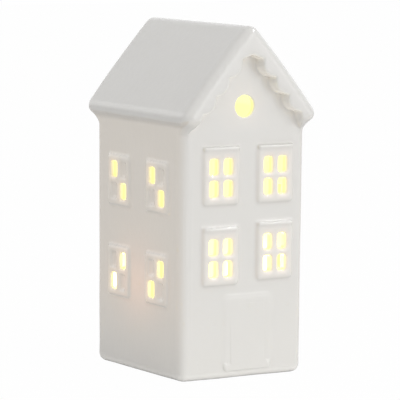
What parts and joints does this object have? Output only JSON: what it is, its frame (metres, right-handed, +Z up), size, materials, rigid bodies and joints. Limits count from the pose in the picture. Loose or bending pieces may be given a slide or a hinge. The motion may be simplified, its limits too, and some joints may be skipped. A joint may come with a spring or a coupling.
{
  "type": "ceramic christmas village house",
  "caption": "Tall white glazed ceramic house with a gable roof, scalloped bargeboards and punched windows, lit from inside by a coin-cell lamp unit in its base.",
  "frame": {"origin": "on the table plane, under the middle of the house", "axes": "+Z up to the ridge, the front with the round attic window faces -Y, +X is to the right of someone looking at the front"},
  "size_m": [0.0654, 0.0848, 0.1496],
  "materials": {
    "glaze": "clear glossy glaze on white porcelain",
    "pad_foam": "soft white foam",
    "grommet_silicone": "translucent silicone",
    "housing_plastic": "moulded, fine spark texture",
    "cover_plastic": "moulded, satin",
    "screw_steel": "zinc plated",
    "board_laminate": "solder mask on glass laminate",
    "led_epoxy": "clear epoxy, glowing warm white",
    "tinned_wire": "tinned",
    "resistor_body": "lacquered",
    "switch_can": "bright sheet metal",
    "phenolic": "phenolic paper",
    "contact_brass": "bare",
    "lever_plastic": "moulded black",
    "cell_steel": "bright nickel, no marking",
    "spring_nickel": "nickel-plated spring strip",
    "door_plastic": "moulded, fine spark texture"
  },
  "bodies": {
    "house": {"ceramic_house": "glaze", "foot_pads": "pad_foam", "retaining_grommet": "grommet_silicone", "lamp_housing": "housing_plastic", "lamp_cover": "cover_plastic", "cover_screws": "screw_steel", "circuit_board": "board_laminate", "led_lens": "led_epoxy", "led_leads": "tinned_wire", "resistor": "resistor_body", "switch_case": "switch_can", "switch_base": "phenolic", "switch_pins": "contact_brass", "coin_cell": "cell_steel", "positive_contact": "spring_nickel", "negative_contact": "spring_nickel"},
    "battery_door": {"battery_door": "door_plastic"},
    "switch_lever": {"switch_lever": "lever_plastic", "switch_wiper": "contact_brass"}
  },
  "joints": [
    {"name": "battery_door_twist", "type": "hinge", "parent": "house", "child": "battery_door", "pos_m": [0, 0.00455, 0.00055], "axis": [0, 0, -1], "range_deg": [0, 40]},
    {"name": "switch_slide", "type": "slide", "parent": "house", "child": "switch_lever", "axis": [1, 0, 0], "range_m": [0, 0.002]}
  ]
}
